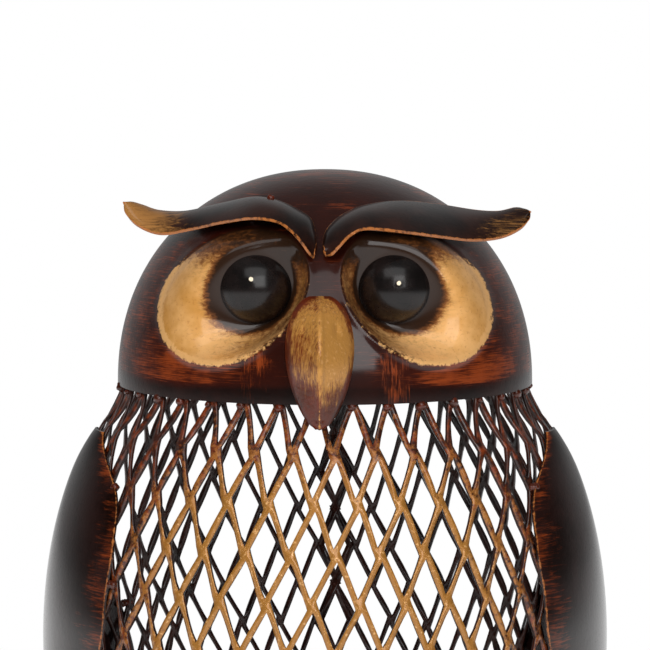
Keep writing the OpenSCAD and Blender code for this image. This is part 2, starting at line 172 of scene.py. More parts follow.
# Bristle marks of a nearly dry brush: long thin streaks that break up
def makeBrushMarks():
    group, take, give = newGroup(
        "brushMarks",
        [("Vector", "NodeSocketVector", None), ("Across", "NodeSocketVector", (90, 90, 1500)),
         ("Cover", "NodeSocketFloat", 0.5), ("Soft", "NodeSocketFloat", 0.09)],
        [("Marks", "NodeSocketFloat")])
    scaled = addNode(group, "ShaderNodeVectorMath", operation="MULTIPLY")
    group.links.new(take.outputs["Vector"], scaled.inputs[0])
    group.links.new(take.outputs["Across"], scaled.inputs[1])
    bristles = noisy(group, scaled.outputs[0], 1, 5, 0.7, 0.6)
    patches = noisy(group, stretched(group, take.outputs["Vector"], (95, 95, 130)), 1, 3, 0.6)
    both = sums(group, "ADD", sums(group, "MULTIPLY", bristles, 0.68), sums(group, "MULTIPLY", patches, 0.42))
    level = sums(group, "ADD", both, sums(group, "SUBTRACT", take.outputs["Cover"], 0.5))
    edge = addNode(group, "ShaderNodeMapRange", interpolation_type="SMOOTHSTEP")
    group.links.new(level, edge.inputs["Value"])
    group.links.new(sums(group, "SUBTRACT", 0.58, take.outputs["Soft"]), edge.inputs["From Min"])
    group.links.new(sums(group, "ADD", 0.58, take.outputs["Soft"]), edge.inputs["From Max"])
    group.links.new(edge.outputs["Result"], give.inputs["Marks"])
    return group


# Paint that is uneven in the hand: a soft mottle and fine specks
def makeMottle():
    group, take, give = newGroup(
        "mottle",
        [("Vector", "NodeSocketVector", None), ("Patch", "NodeSocketFloat", 160.0),
         ("Speck", "NodeSocketFloat", 900.0)],
        [("Patches", "NodeSocketFloat"), ("Specks", "NodeSocketFloat")])
    layers = (("Patches", "Patch", 4, 0.36, 0.64), ("Specks", "Speck", 3, 0.56, 0.7))
    for label, size, detail, low, high in layers:
        made = addNode(group, "ShaderNodeTexNoise", in_Detail=detail, in_Roughness=0.62)
        group.links.new(take.outputs["Vector"], made.inputs["Vector"])
        group.links.new(take.outputs[size], made.inputs["Scale"])
        group.links.new(ramp(group, made.outputs["Fac"], low, high), give.inputs[label])
    return group


# Gilding that catches the high places: a mask broken up by the grain beneath it
def makeHighlightRub():
    group, take, give = newGroup(
        "highlightRub",
        [("Vector", "NodeSocketVector", None), ("Height", "NodeSocketFloat", 0.5),
         ("Amount", "NodeSocketFloat", 0.5), ("Grain", "NodeSocketFloat", 500.0)],
        [("Rub", "NodeSocketFloat")])
    made = addNode(group, "ShaderNodeTexNoise", in_Detail=5, in_Roughness=0.7)
    group.links.new(take.outputs["Vector"], made.inputs["Vector"])
    group.links.new(take.outputs["Grain"], made.inputs["Scale"])
    grain = sums(group, "MULTIPLY", sums(group, "SUBTRACT", made.outputs["Fac"], 0.5), 1.3)
    level = sums(group, "ADD", sums(group, "ADD", take.outputs["Height"], grain), take.outputs["Amount"])
    group.links.new(ramp(group, level, 0.85, 1.15), give.inputs["Rub"])
    return group


# Lacquer never lies quite flat: a slow ripple and a fine orange peel
def makeLacquerSkin():
    group, take, give = newGroup(
        "lacquerSkin",
        [("Vector", "NodeSocketVector", None), ("Ripple", "NodeSocketFloat", 0.5),
         ("Peel", "NodeSocketFloat", 0.2)],
        [("Height", "NodeSocketFloat")])
    ripple = noisy(group, take.outputs["Vector"], 140, 2, 0.5)
    peel = noisy(group, take.outputs["Vector"], 1100, 2, 0.5)
    group.links.new(sums(group, "ADD", sums(group, "MULTIPLY", ripple, take.outputs["Ripple"]),
                         sums(group, "MULTIPLY", peel, take.outputs["Peel"])), give.inputs["Height"])
    return group


brushMarks = makeBrushMarks()
mottle = makeMottle()
highlightRub = makeHighlightRub()
lacquerSkin = makeLacquerSkin()


def placed(tree, group, source, **values):
    made = addNode(tree, "ShaderNodeGroup", node_tree=group)
    tree.links.new(source, made.inputs["Vector"])
    for label, value in values.items():
        socket = made.inputs[label]
        if isinstance(value, (int, float, tuple)):
            socket.default_value = value
        else:
            tree.links.new(value, socket)
    return made


def newFinish(name, **values):
    # returns the tree, the shader and the object's own coordinates
    made = bpy.data.materials.new(name)
    made.use_nodes = True
    tree = made.node_tree
    shader = tree.nodes["Principled BSDF"]
    for label, value in values.items():
        shader.inputs[label.replace("_", " ")].default_value = value
    coords = addNode(tree, "ShaderNodeTexCoord").outputs["Object"]
    return made, tree, shader, coords


def masked(tree, name):
    return addNode(tree, "ShaderNodeAttribute", attribute_name=name).outputs["Fac"]


skinDepth = 0.0004  # of the lacquer's ripple, in metres


def finished(tree, shader, coords, colour, rough=None, ripple=0.5, peel=0.2, bump=0.12, metal=None):
    tree.links.new(colour, shader.inputs["Base Color"])
    if rough is not None:
        tree.links.new(rough, shader.inputs["Roughness"])
    if metal is not None:
        tree.links.new(metal, shader.inputs["Metallic"])
    skin = placed(tree, lacquerSkin, coords, Ripple=ripple, Peel=peel)
    bumpNode = addNode(tree, "ShaderNodeBump", in_Strength=bump, in_Distance=skinDepth)
    tree.links.new(skin.outputs["Height"], bumpNode.inputs["Height"])
    tree.links.new(bumpNode.outputs["Normal"], shader.inputs["Normal"])


paint = {
    "black": (0.006, 0.0018, 0.0012),
    "brown": (0.016, 0.003, 0.0016),
    "mahogany": (0.075, 0.009, 0.003),
    "rust": (0.30, 0.052, 0.010),
    "copper": (0.42, 0.14, 0.035),
    "gold": (0.62, 0.29, 0.065),
    "paleGold": (0.84, 0.46, 0.17),
    "umber": (0.022, 0.009, 0.004),
    "umberGold": (0.42, 0.19, 0.05),
}


def makeHeadLacquer():
    made, tree, shader, coords = newFinish("headLacquer", Coat_Weight=1.0, Coat_Roughness=0.1,
                                           Specular_IOR_Level=0.15)
    streaks = placed(tree, brushMarks, coords, Across=(110.0, 110.0, 3600.0), Cover=masked(tree, "rust"),
                     Soft=0.09)
    upright = placed(tree, brushMarks, coords, Across=(2600.0, 2600.0, 70.0), Cover=masked(tree, "rustDown"),
                     Soft=0.09)
    patches = placed(tree, mottle, coords, Patch=60.0, Speck=1300.0)
    base = blended(tree, patches.outputs["Patches"], paint["black"], paint["brown"])
    glow = sums(tree, "MULTIPLY", sums(tree, "SUBTRACT", masked(tree, "rust"), 0.26), 1.6, clamp=True)
    base = blended(tree, glow, base, paint["mahogany"])
    rusty = sums(tree, "MAXIMUM", streaks.outputs["Marks"], upright.outputs["Marks"])
    base = blended(tree, sums(tree, "MULTIPLY", rusty, 0.74), base, paint["rust"])
    dry = placed(tree, brushMarks, coords, Across=(600.0, 600.0, 1300.0), Cover=masked(tree, "gilt"),
                 Soft=0.3)
    goldTone = blended(tree, patches.outputs["Patches"], paint["gold"], paint["paleGold"])
    goldTone = blended(tree, sums(tree, "MULTIPLY", patches.outputs["Specks"], 0.35), goldTone,
                       paint["copper"])
    goldTone = blended(tree, ramp(tree, dry.outputs["Marks"], 0.3, 0.9), paint["copper"], goldTone)
    wash = blended(tree, masked(tree, "wash"), base, paint["umber"])
    colour = blended(tree, dry.outputs["Marks"], wash, goldTone)
    lipRub = placed(tree, highlightRub, coords, Height=masked(tree, "lip"), Amount=0.22, Grain=700.0)
    colour = blended(tree, lipRub.outputs["Rub"], colour, paint["paleGold"])
    giltAll = sums(tree, "MAXIMUM", dry.outputs["Marks"], lipRub.outputs["Rub"])
    rough = sums(tree, "ADD", 0.34, sums(tree, "MULTIPLY", giltAll, 0.14))
    finished(tree, shader, coords, colour, rough, 1.0, 0.25, 0.42, metal=sums(tree, "MULTIPLY", giltAll, 0.3))
    return made


def makePupilEnamel():
    made, tree, shader, coords = newFinish("pupilEnamel", Coat_Weight=1.0, Coat_Roughness=0.19,
                                           Specular_IOR_Level=0.1)
    patches = placed(tree, mottle, coords, Patch=200.0, Speck=1500.0)
    base = blended(tree, patches.outputs["Patches"], (0.004, 0.003, 0.0028), (0.009, 0.006, 0.0055))
    # the pale spot is a painted highlight: a lamp's reflection on the glossy pupil, painted on as colour
    colour = blended(tree, ramp(tree, masked(tree, "paintedCatchlight"), 0.4, 0.6), base, (0.86, 0.74, 0.55))
    finished(tree, shader, coords, colour, None, 0.8, 0.3, 0.25)
    return made


def makeGilding(name, tone, deep, amount, across, coat=0.7):
    made, tree, shader, coords = newFinish(name, Coat_Weight=coat, Coat_Roughness=0.14)
    patches = placed(tree, mottle, coords, Patch=190.0, Speck=900.0)
    dry = placed(tree, brushMarks, coords, Across=across, Cover=masked(tree, "gilt"), Soft=0.12)
    rub = placed(tree, highlightRub, coords, Height=masked(tree, "edge"), Amount=amount, Grain=900.0)
    base = blended(tree, patches.outputs["Patches"], paint[deep], paint["mahogany"])
    base = blended(tree, sums(tree, "MULTIPLY", masked(tree, "gilt"), 0.55, clamp=True), base, paint["rust"])
    toneMix = blended(tree, sums(tree, "MULTIPLY", patches.outputs["Specks"], 0.5), paint[tone],
                      paint["paleGold"])
    worn = sums(tree, "MAXIMUM", dry.outputs["Marks"], rub.outputs["Rub"])
    colour = blended(tree, worn, base, toneMix)
    rough = sums(tree, "ADD", 0.3, sums(tree, "MULTIPLY", worn, 0.12))
    finished(tree, shader, coords, colour, rough, 0.8, 0.7, 0.4, metal=sums(tree, "MULTIPLY", worn, 0.4))
    return made


def makeMeshBronze():
    made, tree, shader, coords = newFinish("meshBronze", Coat_Weight=0.9, Coat_Roughness=0.16)
    patches = placed(tree, mottle, coords, Patch=110.0, Speck=1100.0)
    face, gilt = masked(tree, "face"), masked(tree, "gilt")
    base = blended(tree, patches.outputs["Patches"], (0.014, 0.004, 0.0025), (0.05, 0.011, 0.005))
    copperRub = placed(tree, highlightRub, coords, Height=sums(tree, "MULTIPLY", face, 0.8), Amount=0.14,
                       Grain=420.0)
    goldRub = placed(tree, highlightRub, coords, Height=sums(tree, "MULTIPLY",
                                                             sums(tree, "MULTIPLY", face, gilt),
                                                             1.2), Amount=0.1, Grain=700.0)
    colour = blended(tree, sums(tree, "MULTIPLY", copperRub.outputs["Rub"], 0.6), base, paint["rust"])
    toneMix = blended(tree, patches.outputs["Specks"], (0.44, 0.19, 0.036), paint["paleGold"])
    toneMix = blended(tree, ramp(tree, gilt, 0.95, 0.6), toneMix, paint["copper"])
    colour = blended(tree, goldRub.outputs["Rub"], colour, toneMix)
    rough = sums(tree, "ADD", 0.32, sums(tree, "MULTIPLY", patches.outputs["Patches"], 0.12))
    finished(tree, shader, coords, colour, rough, 0.8, 0.8, 0.4,
             metal=sums(tree, "MULTIPLY", goldRub.outputs["Rub"], 0.35))
    return made


def makeDarkLacquer(name, warm, coatRough, edgeTone="copper", streakTone="rust",
                    across=(160.0, 160.0, 1800.0), amount=0.1):
    made, tree, shader, coords = newFinish(name, Coat_Weight=1.0, Coat_Roughness=coatRough,
                                           Specular_IOR_Level=0.15)
    patches = placed(tree, mottle, coords, Patch=60.0, Speck=1200.0)
    streaks = placed(tree, brushMarks, coords, Across=across, Cover=masked(tree, "rust"), Soft=0.14)
    rub = placed(tree, highlightRub, coords, Height=masked(tree, "edge"), Amount=amount, Grain=700.0)
    base = blended(tree, patches.outputs["Patches"], paint["black"], warm)
    base = blended(tree, sums(tree, "MULTIPLY", streaks.outputs["Marks"], 0.75), base, paint[streakTone])
    colour = blended(tree, sums(tree, "MULTIPLY", rub.outputs["Rub"], 0.9), base, paint[edgeTone])
    rough = sums(tree, "ADD", 0.32, sums(tree, "MULTIPLY", patches.outputs["Specks"], 0.1))
    finished(tree, shader, coords, colour, rough, 1.0, 0.3, 0.22)
    return made


def makeStopperRubber():
    made, tree, shader, coords = newFinish("stopperRubber", Roughness=0.7)
    patches = placed(tree, mottle, coords, Patch=300.0, Speck=2000.0)
    base = blended(tree, patches.outputs["Patches"], (0.012, 0.012, 0.012), (0.026, 0.025, 0.024))
    colour = blended(tree, sums(tree, "MULTIPLY", patches.outputs["Specks"], 0.3), base, (0.09, 0.085, 0.08))
    rough = sums(tree, "ADD", 0.62, sums(tree, "MULTIPLY", patches.outputs["Specks"], 0.2))
    finished(tree, shader, coords, colour, rough, 0.3, 0.8, 0.3)
    return made


headLacquer = makeHeadLacquer()
pupilEnamel = makePupilEnamel()
beakGilding = makeGilding("beakGilding", "gold", "brown", 0.2, (1900.0, 1900.0, 300.0), 0.45)
footGilding = makeGilding("footGilding", "gold", "umber", 0.1, (500.0, 200.0, 500.0))
browLacquer = makeDarkLacquer("browLacquer", (0.026, 0.008, 0.005), 0.07, "copper", "umberGold",
                              (120.0, 700.0, 1900.0), 0.24)
meshBronze = makeMeshBronze()
wingLacquer = makeDarkLacquer("wingLacquer", (0.016, 0.006, 0.005), 0.12)
baseLacquer = makeDarkLacquer("baseLacquer", (0.03, 0.009, 0.005), 0.15)
weldBronze = makeGilding("weldBronze", "copper", "black", -0.05, (400.0, 400.0, 400.0), 0.8)
stopperRubber = makeStopperRubber()
print("finishes mixed")


def addPiece(name, verts, faces, body, finish, nodes=(), masks=None, sharp=None, crease=None,
             levels=0):
    mesh = bpy.data.meshes.new(name)
    mesh.from_pydata([(v[0] * mm, v[1] * mm, v[2] * mm) for v in verts], [], faces)
    mesh.polygons.foreach_set("use_smooth", [True] * len(mesh.polygons))
    for key, values in (masks or {}).items():
        mesh.attributes.new(key, "FLOAT", "POINT").data.foreach_set("value", values)
    if crease:
        layer = mesh.attributes.new("crease_edge", "FLOAT", "EDGE")
        layer.data.foreach_set("value", [crease] * len(mesh.edges))
    mesh.update()
    mesh.validate()
    obj = bpy.data.objects.new(name, mesh)
    bpy.context.scene.collection.objects.link(obj)
    mesh.materials.append(finish)
    if levels:
        rounding = obj.modifiers.new("round", "SUBSURF")
        rounding.levels = rounding.render_levels = levels
        shaped = bpy.data.meshes.new_from_object(obj.evaluated_get(bpy.context.evaluated_depsgraph_get()))
        obj.modifiers.clear()
        obj.data = shaped
    if sharp:
        obj.data.set_sharp_from_angle(angle=radians(sharp))
    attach(obj, body)
    if nodes:
        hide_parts(*nodes)
    return obj


def gridNormals(grid):
    rows, cols = len(grid), len(grid[0])
    normals = []
    for i in range(rows):
        line = []
        for j in range(cols):
            along = grid[min(rows - 1, i + 1)][j] - grid[max(0, i - 1)][j]
            across = grid[i][min(cols - 1, j + 1)] - grid[i][max(0, j - 1)]
            line.append(along.cross(across).normalized())
        normals.append(line)
    return normals


def bentSheet(grid, thick, edgeWidth, side=1.0):
    # a sheet with a rounded rim from a grid of points on its face: verts, faces and how near each is to the rim
    rows, cols = len(grid), len(grid[0])
    normals = gridNormals(grid)
    verts, near = [], []
    for layer in (0.0, 1.0):
        for i in range(rows):
            for j in range(cols):
                verts.append(grid[i][j] - normals[i][j] * (side * thick * layer))
                reach = min((grid[i][j] - grid[0][j]).length if i else 0, (grid[i][j] - grid[-1][j]).length,
                            (grid[i][j] - grid[i][0]).length, (grid[i][j] - grid[i][-1]).length)
                near.append(clamped(1 - reach / edgeWidth))
    count = rows * cols
    faces = []
    for i in range(rows - 1):
        for j in range(cols - 1):
            a = i * cols + j
            quad = (a, a + 1, a + cols + 1, a + cols)
            faces.append(quad if side < 0 else quad[::-1])
            back = tuple(q + count for q in quad)
            faces.append(back[::-1] if side < 0 else back)
    ring = list(range(cols)) + [i * cols + cols - 1 for i in range(1, rows)]
    ring += [(rows - 1) * cols + j for j in range(cols - 2, -1, -1)] + [i * cols for i in range(rows - 2, 0,
                                                                                                -1)]
    centre = sum((verts[r] for r in ring), Vector()) / len(ring)
    first = len(verts)
    for r in ring:
        away = (verts[r] - centre).normalized()
        middle = (verts[r] + verts[r + count]) / 2
        i, j = divmod(r, cols)
        step = Vector()
        if i in (0, rows - 1):
            step += (grid[i][j] - grid[1 if i == 0 else rows - 2][j]).normalized()
        if j in (0, cols - 1):
            step += (grid[i][j] - grid[i][1 if j == 0 else cols - 2]).normalized()
        verts.append(middle + (step.normalized() if step.length else away) * thick * 0.4)
        near.append(1.0)
    for n, r in enumerate(ring):
        nxt = (n + 1) % len(ring)
        a, b = (r, ring[nxt]), (first + n, first + nxt)
        top, low = (a[0], a[1], b[1], b[0]), (b[0], b[1], a[1] + count, a[0] + count)
        faces.append(top if side < 0 else top[::-1])
        faces.append(low if side < 0 else low[::-1])
    return verts, faces, near


def stitched(first, rings, spokes, turned=False):
    # the faces between closed rings of points that follow one another
    made = []
    for i in range(rings):
        for j in range(spokes):
            a, b = first + i * spokes + j, first + i * spokes + (j + 1) % spokes
            made.append((a, a + spokes, b + spokes, b) if turned else (a, b, b + spokes, a + spokes))
    return made


def capped(first, rings, spokes):
    # the two end faces of such rings
    last = first + rings * spokes
    return [tuple(first + j for j in reversed(range(spokes))), tuple(last + j for j in range(spokes))]


def sideName(side):
    return "left" if side < 0 else "right"


def flipped(verts, faces):
    return [Vector((-v[0], v[1], v[2])) for v in verts], [tuple(reversed(f)) for f in faces]


head = {
    "power": 2.13, "socketX": 22.7, "socketUp": 25.8, "long": 20.4, "short": 14.3, "lean": 32.5,
    "pupilR": 8.9, "pupilH": 4.6, "seatDepth": 6.8, "seatOut": -0.05, "seatUp": -0.06,
    "lip": 0.45, "lipWidth": 1.5, "soft": 1.4, "turnStep": 0.5, "tiers": 190,
    "slotHalf": 21, "slotUp": 31, "slotHigh": 5,
}
headR, headH = place["headR"], place["headH"]
pupilX, pupilZ = head["socketX"] - 5.5, rimZ + head["socketUp"] + 1.7
lean = radians(head["lean"])


def domeR(z):
    return headR * max(0.0, 1 - clamped((z - rimZ) / headH) ** head["power"]) ** (1 / head["power"])


def domeY(x, z):
    return -math.sqrt(max(0.0, domeR(z) ** 2 - x * x))


def seatY(x, z):
    return (domeY(pupilX, pupilZ) + head["seatDepth"] + head["seatOut"] * (x - pupilX)
            + head["seatUp"] * (z - pupilZ))


def oval(x, z, t):
    dx, dz = x - mixed(head["socketX"], pupilX, t), z - mixed(rimZ + head["socketUp"], pupilZ, t)
    u, v = dx * math.cos(lean) - dz * math.sin(lean), dx * math.sin(lean) + dz * math.cos(lean)
    a, b = mixed(head["long"], head["pupilR"], t), mixed(head["short"], head["pupilR"], t)
    q = math.hypot(u / a, v / b)
    return q, (q - 1) * q / max(1e-6, math.hypot(u / a / a, v / b / b))


def depthIn(x, z):
    # 0 at the socket's edge and 1 at the pupil's
    if oval(x, z, 0)[0] >= 1:
        return 0.0
    low, high = 0.0, 1.0
    for _ in range(12):
        t = (low + high) / 2
        if oval(x, z, t)[0] < 1:
            low = t
        else:
            high = t
    return (low + high) / 2


def headPoint(turn, rise):
    flat = math.cos(radians(rise)) ** (2 / head["power"]) if rise < 90 else 0.0
    up = math.sin(radians(rise)) ** (2 / head["power"])
    x, y, z = headR * flat * math.sin(radians(turn)), -headR * flat * math.cos(radians(turn)), rimZ + headH * up
    out = Vector((x, y, (z - rimZ) * 0.9)).normalized()
    depth, lip, push, gap = 0.0, 0.0, 0.0, 9.0
    if math.cos(radians(turn)) > 0 and abs(x) < 46:
        depth = depthIn(abs(x), z)
        gap = oval(abs(x), z, 0)[1]
        lip = math.exp(-(gap / head["lipWidth"]) ** 2)
        if depth > 0:
            push = mixed(domeY(x, z), seatY(abs(x), z), math.sin(math.pi / 2 * depth)) - y
            push *= eased(0.25 - 0.75 * gap / head["soft"])
    point = Vector((x, axisY + y + push, z)) + out * head["lip"] * lip
    inner = Vector((0, 1.1, 0)) if depth > 0 else -out
    return point, point + inner * place["sheet"], depth, lip, gap


def buildHead():
    turns = [-75 + head["turnStep"] * n for n in range(int(150 / head["turnStep"]) + 1)]
    turns += [75 + 3.0 * n for n in range(1, 70)]
    count, tiers = len(turns), head["tiers"]
    outer, inner = [], []
    masks = {key: [] for key in ("gilt", "wash", "lip", "rust", "rustDown")}
    for i in range(tiers):
        rise = 89.2 * i / (tiers - 1)
        for turn in turns:
            point, back, depth, lip, gapAt = headPoint(turn, rise)
            outer.append(point)
            inner.append(back)
            x, z = point.x, point.z - rimZ
            side = abs(turn if turn < 180 else turn - 360)
            inSocket = eased(0.5 - gapAt / 0.9)
            # gold fades towards the pupil; under the brow it fades as painted shade, the brow's shadow on the
            # socket
            outward = (abs(x) - pupilX) / 22
            gold = 0.66 + 0.26 * outward - 0.8 * eased((depth - 0.55) / 0.45) - 0.4 * eased((z - 30) / 8)
            masks["gilt"].append(mixed(-0.5, gold, inSocket))
            masks["wash"].append(inSocket)
            # the pale gold lip is dimmed under the brow too, as painted shade of the brow
            masks["lip"].append(lip * (0.6 + 0.4 * eased(outward + 0.5)) * (0.3 + 0.7 * eased((38 - z) / 8)))
            cheek = math.exp(-((side - 46) / 22) ** 2) * eased((24 - z) / 18)
            temple = 0.62 * math.exp(-((side - 78) / 24) ** 2)
            crown = 0.75 * eased((z - 51) / 5) * math.exp(-(x / 20) ** 2)
            masks["rust"].append(0.37 + 0.2 * max(cheek, temple, crown) - 0.3 * eased((5 - z) / 3))
            masks["rustDown"].append(0.02 + 0.47 * math.exp(-((side - 18) / 8) ** 2) * eased((22 - z) / 12))
    verts = outer + inner
    size = len(outer)
    for key in masks:
        masks[key] += [v if key in ("rust", "rustDown") else 0.0 for v in masks[key]]
    faces = []

    def inSlot(i, j):
        middle = (outer[i * count + j] + outer[(i + 1) * count + (j + 1) % count]) / 2
        turn = (turns[j] + turns[(j + 1) % count]) / 2
        highEnough = abs(middle.z - rimZ - head["slotUp"]) < head["slotHigh"] / 2
        return highEnough and abs(turn - 180) < head["slotHalf"]

    slotCells = {(i, j) for i in range(tiers - 1) for j in range(count) if inSlot(i, j)}
    for i in range(tiers - 1):
        for j in range(count):
            a, b = i * count + j, i * count + (j + 1) % count
            c, d = b + count, a + count
            if (i, j) not in slotCells:
                faces += [(a, b, c, d), (a + size, d + size, c + size, b + size)]
                continue
            sides = (((i - 1, j), (a, b)), ((i + 1, j), (c, d)),
                     ((i, j - 1), (d, a)), ((i, (j + 1) % count), (b, c)))
            for near, (p, q) in sides:
                if near not in slotCells:
                    faces.append((q, p, p + size, q + size))
    for j in range(count):
        a, b = j, (j + 1) % count
        faces.append((b, a, a + size, b + size))
    top = (tiers - 1) * count
    verts += [Vector((0, axisY, rimZ + headH)), Vector((0, axisY, rimZ + headH - place["sheet"]))]
    for key in masks:
        masks[key] += [masks[key][top], 0.0]
    for j in range(count):
        a, b = top + j, top + (j + 1) % count
        faces += [(a, b, 2 * size), (b + size, a + size, 2 * size + 1)]
    return addPiece("headShell", verts, faces, "owl", headLacquer, ("head_shell",), masks,
                    sharp=60)


def buildPupil(side):
    radius, high = head["pupilR"], head["pupilH"]
    ball = (radius * radius + high * high) / (2 * high)
    rings, spokes = 26, 72
    verts, paintedCatchlight = [], []
    # a pale spot raised a little on each pupil: a painted highlight that stands for a lamp's reflection
    catchlightSpot = Vector((1.3 * side, 2.2 if side < 0 else 1.2))
    for i in range(rings + 1):
        reach = radius * math.sin(math.pi / 2 * i / rings) if i else 0.0
        for j in range(spokes):
            turn = 2 * math.pi * j / spokes
            rise = math.sqrt(max(0, ball * ball - reach * reach)) - ball + high
            rise = max(rise, 0) + 0.25 * (1 - (reach / radius) ** 8)
            p = Vector((reach * math.cos(turn), reach * math.sin(turn), rise))
            mark = clamped(1.25 - (Vector((p.x, p.y)) - catchlightSpot).length / 0.75)
            paintedCatchlight.append(mark)
            verts.append(p + Vector((0, 0, 0.12 * mark)))
    for j in range(spokes):
        turn = 2 * math.pi * j / spokes
        verts.append(Vector((radius * math.cos(turn), radius * math.sin(turn), -0.6)))
        paintedCatchlight.append(0.0)
    faces = stitched(0, rings + 1, spokes, turned=True)
    faces[:spokes] = [face[:3] for face in faces[:spokes]]  # the middle is one point
    turnTo = Matrix.Rotation(radians(90) + math.atan(head["seatUp"]), 4, "X")
    turnTo = turnTo @ Matrix.Rotation(side * math.atan(head["seatOut"]), 4, "Y")
    at = Vector((side * pupilX, axisY + seatY(pupilX, pupilZ), pupilZ))
    verts = [turnTo @ v + at for v in verts]
    name = sideName(side)
    return addPiece(name + "Pupil", verts, faces, "owl", pupilEnamel, (name + "_pupil",),
                    {"paintedCatchlight": paintedCatchlight}, sharp=50)


buildHead()
for side in (-1, 1):
    buildPupil(side)
print("head and pupils pressed")


# along a brow: the upper and the lower edge as shares of the reach, then the height and the distance forward
# of the upper edge, and the same of the lower
brow = {
    "right": [(0.000, 0.012, 38.0, 44.4, 35.9, 46.9), (0.004, 0.040, 40.4, 41.5, 36.4, 47.6),
              (0.028, 0.072, 42.9, 38.4, 38.2, 47.6), (0.094, 0.124, 45.9, 34.5, 41.1, 47.0),
              (0.199, 0.198, 48.1, 30.5, 42.7, 45.8), (0.367, 0.356, 49.0, 25.5, 41.9, 43.0),
              (0.549, 0.530, 48.1, 19.5, 40.5, 37.5), (0.737, 0.704, 46.5, 16.0, 39.2, 30.0),
              (0.850, 0.844, 46.2, 15.0, 39.6, 24.5), (0.931, 0.944, 47.1, 15.0, 41.7, 21.5),
              (0.975, 0.990, 46.7, 16.2, 43.8, 19.4), (0.993, 1.000, 45.7, 17.3, 45.0, 18.2)],
    "left": [(0.048, 0.060, 38.7, 43.8, 35.4, 46.9), (0.054, 0.084, 41.4, 41.0, 36.9, 47.6),
             (0.074, 0.116, 44.7, 37.0, 39.4, 47.6), (0.128, 0.161, 46.8, 34.0, 42.1, 47.0),
             (0.222, 0.230, 49.1, 31.5, 44.4, 45.0), (0.343, 0.346, 50.1, 28.0, 45.1, 42.0),
             (0.504, 0.500, 48.4, 21.0, 43.8, 35.0), (0.678, 0.657, 46.3, 16.5, 41.8, 28.0),
             (0.811, 0.796, 46.4, 15.0, 40.6, 24.0), (0.893, 0.907, 47.8, 15.0, 42.5, 21.0),
             (0.945, 0.968, 48.6, 16.0, 45.4, 18.8), (0.970, 0.980, 48.1, 17.0, 47.2, 17.8)],
    "reach": 54, "steps": 120, "across": 16, "edge": 1.1,
}


def browPoint(side, u, v):
    a = through(brow[sideName(side)], u)
    swell = 4 * v * (1 - v)
    x, z = mixed(a[0], a[1], v) * brow["reach"] - 0.6, rimZ + mixed(a[2], a[4], v) + 0.9 * swell
    return Vector((x, axisY - max(mixed(a[3], a[5], v) + 0.8 * swell, 0.3 - domeY(x, z)), z))


def buildBrow(side):
    steps, across = brow["steps"], brow["across"]
    grid = [[browPoint(side, i / steps, j / across) for j in range(across + 1)] for i in range(steps + 1)]
    verts, faces, near = bentSheet(grid, place["sheet"], brow["edge"], -1.0)
    tip = [eased((v.x - 22) / 26) for v in verts]
    rust = [(0.04 + 0.62 * t) if side < 0 else (0.03 + 0.4 * t) for t in tip]
    if side < 0:
        verts, faces = flipped(verts, faces)
    name = sideName(side)
    edge = [0.85 * n + 0.1 * t for n, t in zip(near, tip)]
    return addPiece(name + "Brow", verts, faces, "owl", browLacquer, (name + "_brow",),
                    {"edge": edge, "rust": rust}, sharp=50)


for side in (-1, 1):
    buildBrow(side)


beak = {"x": -1.3, "topUp": 26, "long": 31.4, "halfW": 7.7, "out": 9, "steps": 90, "across": 36}


def beakHalf(s):
    return beak["halfW"] / 0.46 * s ** 0.45 * (1 - s) ** 0.7


def beakPoint(s, v):
    w = beakHalf(s)
    z = rimZ + beak["topUp"] - s * beak["long"]
    sideAt = domeY(w, max(z, rimZ)) - 0.3 - 5.5 * (max(0, s - 0.62) / 0.38) ** 1.5
    ridge = beak["out"] * math.sin(math.pi * s ** 0.8) ** 0.8 * min(1, w / 3)
    arch = (1 - abs(v)) ** 0.75
    y = sideAt - ridge * arch
    y -= 0.45 * math.exp(-(v * w / 0.5) ** 2) * math.sin(math.pi * s) ** 0.5  # the fold along the middle
    for at in (-0.45, 0.5):  # nostrils
        y += 0.7 * math.exp(-((v - at) / 0.09) ** 2 - ((s - 0.25) / 0.045) ** 2)
    return Vector((beak["x"] + v * max(w, 0.15), axisY + y, z))


def buildBeak():
    steps, across = beak["steps"], beak["across"]
    lines = [math.copysign(abs(2 * j / across - 1) ** 1.25, 2 * j / across - 1) for j in range(across + 1)]
    grid = [[beakPoint(0.012 + 0.976 * i / steps, v) for v in lines] for i in range(steps + 1)]
    verts, faces, near = bentSheet(grid, 0.7, 2.0, -1.0)
    edge, gilt = [], []
    for n, v in zip(near, verts):
        s = clamped((rimZ + beak["topUp"] - v.z) / beak["long"])
        w = max(1.0, beakHalf(s))
        off = abs(v.x - beak["x"]) / w
        ridge = math.exp(-(off * w / 0.75) ** 2)
        edge.append(0.62 * ridge + 0.3 * n * (1 - s) + 0.1)
        right = eased((v.x - beak["x"]) / 1.5 + 0.5)
        gilt.append(0.57 - 0.36 * eased((s - 0.5) / 0.45) + 0.12 * right
                    - 0.12 * eased((0.2 - s) / 0.2) - 0.2 * eased((off - 0.85) / 0.15))
    return addPiece("beak", verts, faces, "owl", beakGilding, ("beak",),
                    {"edge": edge, "gilt": gilt}, sharp=70)


buildBeak()
print("brows and beak bent")


barrel = {
    "cells": 38, "rows": 12, "rowHigh": 11.75, "phase": 0.22, "edge": 3.0,
    "bondHigh": 2.1, "bondHalf": 1.45, "seam": 1.3, "jog": 0.38, "thick": 1.0, "tilt": 0.34, "segments": 4,
    "hemSpokes": 152,
}
cell = 360 / barrel["cells"]
seamTurn = (round(barrel["cells"] / 2 - barrel["phase"]) - 0.5 + barrel["phase"]) * cell
topInner = headR - place["sheet"] - 0.3
lowInner = place["panR"] - place["sheet"] - 0.3


